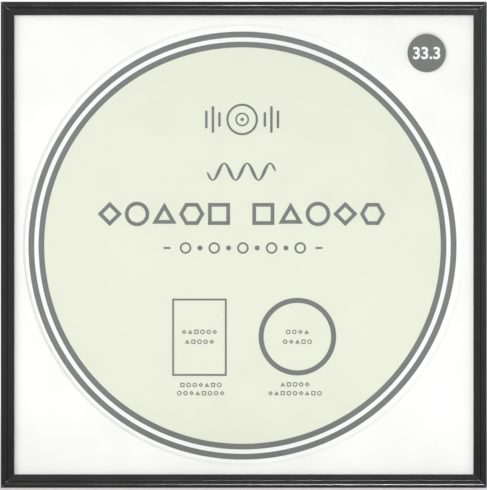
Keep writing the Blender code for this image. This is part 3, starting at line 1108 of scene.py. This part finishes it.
@dataclass(frozen=True)
class Ink:
    """A thin film of ink, as the marks that it is laid in.

    Args:
        low: the height of its lower face.
        high: the height of its upper face.
    """

    low: float
    high: float

    def dot(self, outline: np.ndarray) -> Skin:
        """A mark that fills its outline."""
        return slab(outline, self.low, self.high)

    def hoop(self, outline: np.ndarray, stroke: float) -> Skin:
        """A band of one width that runs just inside an outline.

        Args:
            outline: the band's outer edge, counterclockwise.
            stroke: its width.

        Returns:
            Loops along its four edges, joined.
        """
        inner = inset(outline, stroke)
        edges = [(outline, self.low), (outline, self.high), (inner, self.high), (inner, self.low)]
        return Skin(np.stack([level(edge, height) for edge, height in edges]), Ends.JOINED)

    def ribbon(self, path: np.ndarray, width: np.ndarray) -> Skin:
        """A stroke along a path: at each point, half the width to either side of it.

        Args:
            path: the middle of the stroke.
            width: how wide it is at each point.

        Returns:
            A box section at each point, capped.
        """
        ahead = np.gradient(path, axis=0)
        ahead /= np.linalg.norm(ahead, axis=1, keepdims=True)
        aside = np.column_stack([-ahead[:, 1], ahead[:, 0]]) * width[:, None] / 2
        left, right = path - aside, path + aside
        corners = [(left, self.low), (right, self.low), (right, self.high), (left, self.high)]
        return Skin(np.stack([level(edge, height) for edge, height in corners], axis=1))

    def bar(self, start: Pair, end: Pair, width: float, steps: int = 8) -> Skin:
        """A straight stroke whose width falls at each end as a circle's chord does.

        Args:
            start: its first end.
            end: its other end.
            width: its width.
            steps: how many steps each round end is drawn in.

        Returns:
            The stroke, as a ribbon.
        """
        start, end = np.array(start), np.array(end)
        length = np.linalg.norm(end - start)
        half = width / 2
        curl = half * (1 - np.cos(np.linspace(0.0, math.pi / 2, steps + 1)))
        along = np.concatenate([curl, length - curl[::-1]])
        from_end = np.minimum(along, length - along)
        chord = np.sqrt(np.clip(half**2 - np.clip(half - from_end, 0.0, half) ** 2, 0.0, None))
        return self.ribbon(start + (end - start) * (along / length)[:, None], 2 * chord)


@dataclass(frozen=True)
class Row:
    """A row of outlined figures that look one height.

    Args:
        middle: its middle.
        figures: its figures, from left to right.
        reach: how far a figure reaches from its own middle.
        stroke: how wide its outline is.
        pitch: how far apart the figures are.
    """

    middle: Pair
    figures: tuple[Figure, ...]
    reach: float = 1.6
    stroke: float = 0.7
    pitch: float = 4.1

    def marks(self, ink: Ink) -> list[Skin]:
        """Lays out the row.

        Args:
            ink: what it is printed with.

        Returns:
            A hoop for each figure.
        """
        skins = []
        for step, figure in enumerate(self.figures):
            corners, turn, size, drop = figure.value
            across = self.middle[0] + (step - (len(self.figures) - 1) / 2) * self.pitch
            middle = (across, self.middle[1] - drop * self.reach)
            skins.append(ink.hoop(ring(size * self.reach, middle, corners, turn), self.stroke))
        return skins


@dataclass(frozen=True)
class SmallRecord:
    """A small record seen from above, between upright bars of several heights."""

    middle: Pair = (-0.2, 84.5)
    rims: tuple[tuple[float, float, int], ...] = ((10.6, 1.5, 96), (4.6, 1.1, 64))
    spindle: float = 1.2
    spindle_points: int = 32
    bars: tuple[float, ...] = (5.0, 9.0, 6.0)
    first_bar: float = 15.2
    pitch: float = 4.4
    bar_width: float = 1.7

    def marks(self, ink: Ink) -> list[Skin]:
        """Lays out the record, each of whose rims is a radius, a stroke and its points.

        Args:
            ink: what it is printed with.

        Returns:
            Its rims, its spindle and the bars.
        """
        x, y = self.middle
        skins = [ink.hoop(ring(radius, (x, y), points), stroke) for radius, stroke, points in self.rims]
        skins.append(ink.dot(ring(self.spindle, (x, y), self.spindle_points)))
        for side in (-1, 1):
            for step, tall in enumerate(self.bars):
                across = x + side * (self.first_bar + self.pitch * step)
                skins.append(ink.bar((across, y - tall), (across, y + tall), self.bar_width))
        return skins


@dataclass(frozen=True)
class BrushWave:
    """A wave drawn with a brush, whose stroke swells and thins twice as fast as it turns."""

    middle: Pair = (-0.7, 49.5)
    half: float = 23.0
    height: float = 5.6
    waves: int = 3
    stroke: Pair = (1.6, 0.6)
    taper: float = 2.0
    points: int = 241

    def marks(self, ink: Ink) -> list[Skin]:
        """A sine, whose width is a cosine of twice its phase and falls to each end as a root.

        Args:
            ink: what it is printed with.

        Returns:
            The one stroke.
        """
        across = np.linspace(-self.half, self.half, self.points)
        phase = across / (2 * self.half) * math.tau * self.waves
        mean, swell = self.stroke
        ends = np.clip((self.half - np.abs(across)) / self.taper, 0.0, 1.0) ** 0.5
        up = self.middle[1] + self.height * np.sin(phase)
        path = np.column_stack([across + self.middle[0], up])
        return [ink.ribbon(path, (mean + swell * np.cos(2 * phase)) * ends)]


@dataclass(frozen=True)
class Beads:
    """A row of rings and dots by turns, between two dashes."""

    middle: Pair = (0.3, -1.6)
    pitch: float = 9.6
    most: int = 4
    dot: float = 1.7
    dot_points: int = 32
    ring: float = 3.9
    ring_stroke: float = 1.3
    ring_points: int = 48
    dashes: Pair = (-53.0, 48.8)
    dash: float = 4.8
    dash_width: float = 1.4

    def marks(self, ink: Ink) -> list[Skin]:
        """Lays out the beads from the middle one, which is a ring, to most on either side.

        Args:
            ink: what they are printed with.

        Returns:
            The beads and the two dashes.
        """
        skins = []
        x, y = self.middle
        for step in range(-self.most, self.most + 1):
            centre = (x + step * self.pitch, y)
            if step % 2:
                skins.append(ink.dot(ring(self.dot, centre, self.dot_points)))
            else:
                skins.append(ink.hoop(ring(self.ring, centre, self.ring_points), self.ring_stroke))
        return skins + [ink.bar((start, y), (start + self.dash, y), self.dash_width) for start in self.dashes]


@dataclass(frozen=True)
class Panels:
    """An upright outline and a round one, each with small rows inside and below.

    Args:
        upright: the upright outline's middle, width, height and stroke.
        circle: the round outline's middle, radius and stroke.
        circle_points: how many points it has.
        rows: each small row's middle, how many figures it has, and which comes first.
    """

    upright: tuple[Pair, float, float, float] = ((-28.8, -61.4), 36.6, 51.8, 1.3)
    circle: tuple[Pair, float, float] = ((36.8, -61.0), 26.0, 3.4)
    circle_points: int = 192
    rows: tuple[tuple[Pair, int, int], ...] = (
        ((-28.8, -57.8), 6, 0),
        ((-28.8, -64.4), 5, 2),
        ((36.8, -57.8), 4, 1),
        ((36.8, -64.4), 5, 3),
        ((-27.9, -93.4), 7, 4),
        ((-27.9, -98.9), 8, 1),
        ((35.2, -93.0), 5, 2),
        ((35.2, -98.9), 9, 0),
    )

    def marks(self, ink: Ink) -> list[Skin]:
        """Lays out both panels. A small row takes every second kind of figure in turn.

        Args:
            ink: what they are printed with.

        Returns:
            The two outlines and the rows.
        """
        middle, width, height, stroke = self.upright
        skins = [ink.hoop(oblong(width, height, middle), stroke)]
        middle, radius, stroke = self.circle
        skins.append(ink.hoop(ring(radius, middle, self.circle_points), stroke))
        kinds = list(Figure)
        for middle, count, first in self.rows:
            figures = tuple(kinds[(first + 2 * step) % len(kinds)] for step in range(count))
            skins += Row(middle, figures).marks(ink)
        return skins


@dataclass
class Print:
    """The print on the card: a pale green disc in two grey rings, with plain figures on it.

    Args:
        face: the frame's place.
        shift: how far the print lies off the middle of the card.
        disc: the disc's radius.
        rings: each ring's radius and stroke.
        rim: how many points a large circle has.
        film: how far an ink stands over what it is printed on.
        sunk: how far it reaches into it.
        large: the reach, stroke and pitch of the large row, which is two groups of five.
        left: the middle of the left group.
        left_figures: its figures.
        right: the middle of the right group.
        right_figures: its figures.
    """

    face: Face
    shift: Pair = (-0.9, -0.6)
    disc: float = 132.8
    rings: tuple[Pair, ...] = ((136.6, 3.8), (143.4, 3.9))
    rim: int = 360
    film: float = 0.03
    sunk: float = 0.02
    large: tuple[float, float, float] = (8.2, 2.5, 18.3)
    left: Pair = (-52.3, 21.2)
    left_figures: tuple[Figure, ...] = tuple(Figure)
    right: Pair = (50.6, 21.2)
    right_figures: tuple[Figure, ...] = (
        Figure.SQUARE,
        Figure.TRIANGLE,
        Figure.CIRCLE,
        Figure.DIAMOND,
        Figure.HEXAGON,
    )

    def build(self) -> None:
        """Lays the inks on the card as thin films, the figures on top of the disc."""
        front = self.face.depth_of("printed_insert")[1]
        base = Ink(front - self.sunk, front + self.film)
        over = Ink(base.high - self.sunk, base.high + self.film)
        figures = (
            SmallRecord(),
            BrushWave(),
            Row(self.left, self.left_figures, *self.large),
            Row(self.right, self.right_figures, *self.large),
            Beads(),
            Panels(),
        )
        disc = [base.dot(ring(self.disc, count=self.rim))]
        rings = [base.hoop(ring(radius, count=self.rim), stroke) for radius, stroke in self.rings]
        marks = [skin for figure in figures for skin in figure.marks(over)]
        for name, skins, finish in (
            ("print_disc", disc, GREEN_INK),
            ("print_rings", rings, GREY_INK),
            ("print_figures", marks, GREY_INK),
        ):
            for skin in skins:
                skin.rows[..., :2] += self.shift
            self.face.hang(name, mesh_of(name, skins), [finish], "printed_card")


@dataclass
class Sticker:
    """The round vinyl label on the clear sheet, with a plain number printed on it."""

    face: Face
    number: str = "33.3"
    cap_height: float = 8.4
    weight: float = 0.028
    film: float = 0.03
    rim: int = 160
    soft: float = 0.05
    soft_steps: int = 3

    def build(self) -> None:
        """Makes the label and its number."""
        low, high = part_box("round_sticker")
        radius = (high.x - low.x) / MM / 2
        middle = (low + high) / 2 / MM
        centre = (middle.x - self.face.middle[0], middle.z - self.face.middle[1])
        back, front = self.face.depth_of("round_sticker")
        skin = slab(ring(radius, centre, self.rim), back, front, self.soft, self.soft_steps)
        self.face.hang("vinyl_label", mesh_of("label", [skin]), [VINYL], "grey_vinyl", "round_sticker")
        self.face.hang("label_number", self.digits(centre, front), [WHITE_INK], "grey_vinyl")

    def digits(self, centre: Pair, front: float) -> Mesh:
        """The number as a thin film of ink, centred on the label.

        The text is a millimetre thick, and is then scaled across to its height and squeezed
        to twice the film, so that its back half lies in the label.

        Args:
            centre: the label's middle.
            front: the height of the label's face.

        Returns:
            The number's mesh, in the frame's own millimetres.
        """
        text = bpy.data.curves.new("number", "FONT")
        text.body = self.number
        text.offset = self.weight
        text.extrude = 0.5
        holder = bpy.data.objects.new("number", text)
        bpy.context.scene.collection.objects.link(holder)
        mesh = made_mesh(holder)
        bpy.data.objects.remove(holder, do_unlink=True)
        points = triples(mesh.vertices, "co")
        low, high = points.min(axis=0), points.max(axis=0)
        points -= (low + high) / 2
        scale = self.cap_height / (high[1] - low[1])
        points[:, :2] = points[:, :2] * scale + centre
        points[:, 2] = front + points[:, 2] * 2 * self.film
        mesh.vertices.foreach_set("co", points.ravel())
        return mesh


@dataclass
class TurnButtons:
    """Eight stamped turn buttons that hold the board in, each on a pan-head screw."""

    face: Face
    along: float = 80.0
    pivot_inset: float = 2.25
    radius: float = 2.1
    tip: float = 10.65
    end_steps: int = 24
    side_steps: int = 13
    hole: float = 1.3
    chamfer: Pair = (1.06, 0.1)
    soft: float = 0.22
    back: float = -1.1
    front: float = -0.3
    head: float = 2.1
    head_front: float = -1.4
    head_height: float = 1.2
    rim_share: float = 0.35
    shank: float = 1.0
    shank_end: float = 7.0
    point: float = 1.5
    recess_span: float = 2.52
    recess_width: float = 0.68
    recess_depth: float = 0.75
    recess_slope: float = 0.22
    rays: int = 96
    rings: int = 34

    def button(self) -> Skin:
        """A button about its pivot: rows run round a section from the hole to the rim and back.

        The rim is a half circle at the pivot, two straight sides and a half circle at the
        tip, and each of its points faces the hole's point on the same ray. The hole widens
        at the back by the chamfer's share, over its depth.

        Returns:
            The button, its path joined.
        """
        both = (self.radius, self.radius)
        sides = np.linspace(0.0, -self.tip, self.side_steps + 1)[1:-1]
        left = np.column_stack([np.full(len(sides), -self.radius), sides])
        pivot_end = arc((0.0, 0.0), both, 0, 180, self.end_steps)
        tip_end = arc((0.0, -self.tip), both, 180, 360, self.end_steps)
        rim = np.concatenate([pivot_end, left, tip_end, left[::-1] * [-1.0, 1.0]])
        hole = rim * (self.hole / np.linalg.norm(rim, axis=1, keepdims=True))
        wider, deep = self.chamfer
        rows = [level(hole, self.back + deep), level(hole, self.front)]
        rows += [*slab(rim, self.back, self.front, self.soft).rows[::-1], level(hole * wider, self.back)]
        return Skin(np.stack(rows), Ends.JOINED)

    def screw(self, twist: float) -> Skin:
        """A pan-head screw: the head's top is a quarter ellipse with a cross pressed into it.

        The cross is the nearer of two crossed bars, and the metal sinks by the depth times
        how far inside the nearer bar's edge a point lies, over the slope, up to the whole.

        Args:
            twist: how far the cross is turned, in degrees.

        Returns:
            The head, the shank and the point, capped.
        """
        angle = np.linspace(0.0, math.tau, self.rays, endpoint=False)
        share = np.linspace(0.0, 1.0, self.rings)[:, None]
        across, up = self.head * share * np.cos(angle), self.head * share * np.sin(angle)
        rim = self.head_height * self.rim_share
        dome = (self.head_height - rim) * np.sqrt(1 - share**2)
        spin = math.radians(twist)
        x = np.abs(across * math.cos(spin) + up * math.sin(spin))
        y = np.abs(up * math.cos(spin) - across * math.sin(spin))
        half, reach = self.recess_width / 2, self.recess_span / 2
        edge = np.minimum(np.maximum(x - half, y - reach), np.maximum(y - half, x - reach))
        sink = self.recess_depth * np.clip(-edge / self.recess_slope, 0.0, 1.0)
        top = np.stack([across, up, self.head_front - rim - dome + sink], axis=-1)
        radii = [self.head, self.shank, self.shank, 0.0]
        heights = [self.head_front, self.head_front, self.shank_end - self.point, self.shank_end]
        below = spun(np.column_stack([radii, heights]), count=self.rays)
        return Skin(np.concatenate([top, below.rows]))

    def build(self) -> None:
        """Makes each button on its own body, and its screw on the frame."""
        button = self.button().rows
        for catch in Catch:
            where = catch.name.lower()
            side, half, twist = catch.value
            pivot = np.array([half * self.along, self.face.half - self.pivot_inset, 0.0])
            self.face.hang(
                f"catch_{where}",
                mesh_of("catch", [Skin(button + pivot, Ends.JOINED)]),
                [ZINC],
                "zinc_plate",
                f"turn_button_{where}",
                f"button_{where}",
                side.value,
            )
            self.face.hang(
                f"pan_screw_{where}",
                mesh_of("screw", [Skin(self.screw(twist).rows + pivot)]),
                [NICKEL],
                "nickel_plate",
                f"button_screw_{where}",
                turn=side.value,
            )


@dataclass
class Hanger:
    """The toothed steel strip on the board, with its two tubular rivets."""

    face: Face
    notch: float = 127.5
    tall: float = 8.0
    tooth: float = 1.5
    pitch: float = 3.0
    teeth: int = 9
    bar_end: float = 14.5
    bend: float = 1.5
    foot: float = 9.0
    foot_round: float = 2.0
    foot_front: float = -0.3
    rise: float = 1.9
    thickness: float = 0.8
    soft: float = 0.12
    column: float = 0.125
    crisp: float = 40.0
    rivet_head: float = 2.75
    rivet_height: float = 0.7
    rivet_rim_share: float = 0.4
    rivet_front: float = -1.4
    rivet_steps: int = 14
    rivet_points: int = 72
    shank: float = 1.3
    shank_end: float = 2.0

    def strip(self) -> Skin:
        """The strip: a rounded box section carried along it, from end to end.

        Its lower edge is a triangle wave over the bar, its forward place eases from the feet
        to the raised bar along a cosine, and its ends' corners are quarter circles.

        Returns:
            A section for each column, capped.
        """
        end = self.bar_end + self.bend + self.foot
        along = np.arange(-end, end + self.column / 2, self.column)[:, None]
        out = np.abs(along)
        low = self.notch - self.tooth
        half = self.teeth * self.pitch / 2
        phase = np.mod(along + half, self.pitch) / self.pitch
        bite = np.where(out < half, self.tooth * (1 - np.abs(2 * phase - 1)), 0.0)
        past = np.clip(out - (end - self.foot_round), 0.0, self.foot_round)
        curl = self.foot_round - np.sqrt(self.foot_round**2 - past**2)
        bottom, top = low + bite + curl, low + self.tall - curl
        ease = 0.5 - 0.5 * np.cos(math.pi * np.clip((end - self.foot - out) / self.bend, 0.0, 1.0))
        front = self.foot_front - self.rise * ease
        back = front - self.thickness
        turn = np.radians(np.linspace(0.0, 90.0, 4))
        rising, falling = self.soft * (1 - np.cos(turn)), self.soft * (1 - np.sin(turn))
        up = np.hstack([bottom + rising, top - falling, top - rising, bottom + falling])
        forward = np.hstack([front - falling, front - rising, back + falling, back + rising])
        return Skin(np.stack([along + 0 * up, up, forward], axis=-1))

    def rivet(self, centre: Pair) -> Skin:
        """A tubular rivet: a low domed head with a turned rim on a plain shank.

        Args:
            centre: its middle.

        Returns:
            The rivet, capped.
        """
        rim = self.rivet_height * self.rivet_rim_share
        radii = (self.rivet_head, rim - self.rivet_height)
        dome = arc((0.0, self.rivet_front - rim), radii, 90, 0, self.rivet_steps)
        neck = [(self.rivet_head, self.rivet_front), (self.shank, self.rivet_front)]
        shank = [(self.shank, self.shank_end), (0.0, self.shank_end)]
        return spun(np.concatenate([dome, neck, shank]), centre, self.rivet_points)

    def build(self) -> None:
        """Makes the strip and its rivets."""
        strip = mesh_of("strip", [self.strip()], self.crisp)
        self.face.hang("toothed_strip", strip, [ZINC], "zinc_plate", "sawtooth_hanger")
        middle = self.notch - self.tooth + self.tall / 2
        out = self.bar_end + self.bend + self.foot / 2
        for side, where in ((-1, "left"), (1, "right")):
            rivet = mesh_of("rivet", [self.rivet((side * out, middle))])
            node = f"hanger_rivet_{where}"
            self.face.hang(f"tube_rivet_{where}", rivet, [BRASSED], "brassed_steel", node)


# The studio


@dataclass
class Lamp:
    """A soft lamp, placed from the middle of the frame and aimed at it, in metres.

    Args:
        name: its name.
        place: where it is, from the middle of the frame's back.
        size: how wide and tall it is.
        power: its power in watts.
        mirrored: whether glossy surfaces mirror it.
        pieces: the pieces that it lights, if it is for some of them alone.
    """

    name: str
    place: tuple[float, float, float]
    size: Pair
    power: float
    mirrored: bool = True
    pieces: tuple[str, ...] = ()

    def build(self, middle: np.ndarray) -> None:
        """Makes the lamp and says what it lights.

        Args:
            middle: the middle of the frame's back.
        """
        data = bpy.data.lights.new(self.name, "AREA")
        data.shape = "RECTANGLE"
        data.size, data.size_y = self.size
        data.energy = self.power
        lamp = bpy.data.objects.new(self.name, data)
        bpy.context.scene.collection.objects.link(lamp)
        lamp.location = middle + np.array(self.place)
        lamp.rotation_euler = Vector(-np.array(self.place)).to_track_quat("-Z", "Y").to_euler()
        lamp.visible_camera = False
        lamp.visible_glossy = self.mirrored
        if self.pieces:
            lit = bpy.data.collections.new(f"{self.name}_lights")
            for piece in self.pieces:
                lit.objects.link(bpy.data.objects[piece])
            lamp.light_linking.receiver_collection = lit


@dataclass
class Studio:
    """The pale floor, the lamps, the white surroundings and the camera.

    Args:
        face: the frame's place.
        floor_radius: the floor's radius, in metres.
        floor_rings: how many rings the floor is drawn in.
        floor_points: how many points a ring has.
        floor_drop: how far under the frame the floor lies.
        ambient: how strong the light from all round is.
        camera_distance: how far the camera is from the frame.
        camera_reach: how far the camera sees, in metres.
        frame_pixels: how tall the frame is in the photograph, in pixels.
        aim_offset: how far off the middle of the face the camera aims.
        widest: the height over the back at which the rails are widest.
    """

    face: Face
    floor_radius: float = 9.0
    floor_rings: int = 24
    floor_points: int = 96
    floor_drop: float = 0.05
    ambient: float = 0.15
    camera_distance: float = 2500.0
    camera_reach: float = 100.0
    frame_pixels: float = 486.2
    aim_offset: Pair = (-0.2, -0.2)
    widest: float = 9.8

    def world(self) -> None:
        """Lights the frame with an even dome, which shows as plain white."""
        world = bpy.data.worlds.new("studio")
        bpy.context.scene.world = world
        world.use_nodes = True
        tree = world.node_tree
        tree.nodes.clear()
        white = linear("#ffffff")
        dome = add(tree, "ShaderNodeBackground", {"Color": white, "Strength": self.ambient})
        shown = add(tree, "ShaderNodeBackground", {"Color": white, "Strength": 1.0})
        both = add(tree, "ShaderNodeMixShader", {0: seen(tree), 1: dome, 2: shown})
        add(tree, "ShaderNodeOutputWorld", {"Surface": both})

    def floor(self, height: float) -> None:
        """Makes a round floor: a flat profile spun round, its rings wider further out.

        Args:
            height: how high it lies, in metres.
        """
        steps = np.linspace(0.0, 1.0, self.floor_rings) ** 2 * self.floor_radius
        disc = spun(np.column_stack([steps, np.full(len(steps), height)]), count=self.floor_points)
        mesh = mesh_of("floor", [Skin(disc.rows, Ends.OPEN)])
        mesh.shade_flat()
        mesh.materials.append(PaintedFloor().material())
        floor = bpy.data.objects.new("floor", mesh)
        bpy.context.scene.collection.objects.link(floor)

    def camera(self) -> None:
        """A long lens straight in front, so that the frame fills the picture as photographed."""
        data = bpy.data.cameras.new("camera")
        shown = 2 * self.face.half * PHOTO_SIZE[1] / self.frame_pixels
        data.lens = data.sensor_width * self.camera_distance / shown
        data.clip_end = self.camera_reach
        camera = bpy.data.objects.new("camera", data)
        bpy.context.scene.collection.objects.link(camera)
        across, up = self.aim_offset
        camera.location = (
            (self.face.middle[0] + across) * MM,
            (self.face.back - self.widest - self.camera_distance) * MM,
            (self.face.middle[1] + up) * MM,
        )
        camera.rotation_euler = (math.pi / 2, 0.0, 0.0)
        bpy.context.scene.camera = camera

    def lamps(self) -> None:
        """A key lamp from the upper left, fills in front, behind and below, and rail glints.

        The foot fill makes up for the light that the frame keeps from the floor before it.
        """
        middle = np.array([self.face.middle[0], self.face.back, self.face.middle[1]]) * MM
        level_rails = ("top_moulding", "bottom_moulding")
        inside = ("card_mount", "coated_card", "print_disc", "print_rings", "print_figures")
        for lamp in (
            Lamp("key", (-1.5, -2.2, 0.95), (1.6, 1.6), 15.5),
            Lamp("front_fill", (-0.3, -2.7, 0.35), (0.8, 0.6), 41.2, mirrored=False),
            Lamp("back_fill", (1.0, 2.2, 1.3), (1.8, 1.8), 58.0, mirrored=False),
            Lamp("foot_fill", (0.03, -0.4, -0.13), (1.2, 0.05), 0.98, mirrored=False, pieces=inside),
            Lamp("rail_glint", (0.16, -2.0, -0.14), (0.44, 0.03), 10.0, pieces=level_rails),
            Lamp("side_glint", (1.5, -2.0, 0.18), (0.7, 0.36), 5.0, pieces=("right_moulding",)),
        ):
            lamp.build(middle)

    def build(self, lowest: float) -> None:
        """Sets the scene round the frame.

        Args:
            lowest: how high the frame's lowest point is, in metres.
        """
        self.world()
        self.floor(lowest - self.floor_drop * MM)
        self.lamps()
        self.camera()
        bpy.context.scene.view_settings.view_transform = "Standard"


def main() -> None:
    """Builds the frame's pieces in order, then the studio."""
    logging.basicConfig(level=logging.INFO, format="%(name)s: %(message)s")
    face = Face.from_model()
    for assembly in (Rails, Sheets, Print, Sticker, TurnButtons, Hanger):
        assembly(face).build()
    Studio(face).build(cad_box[0].z)


if __name__ == "__main__":
    main()
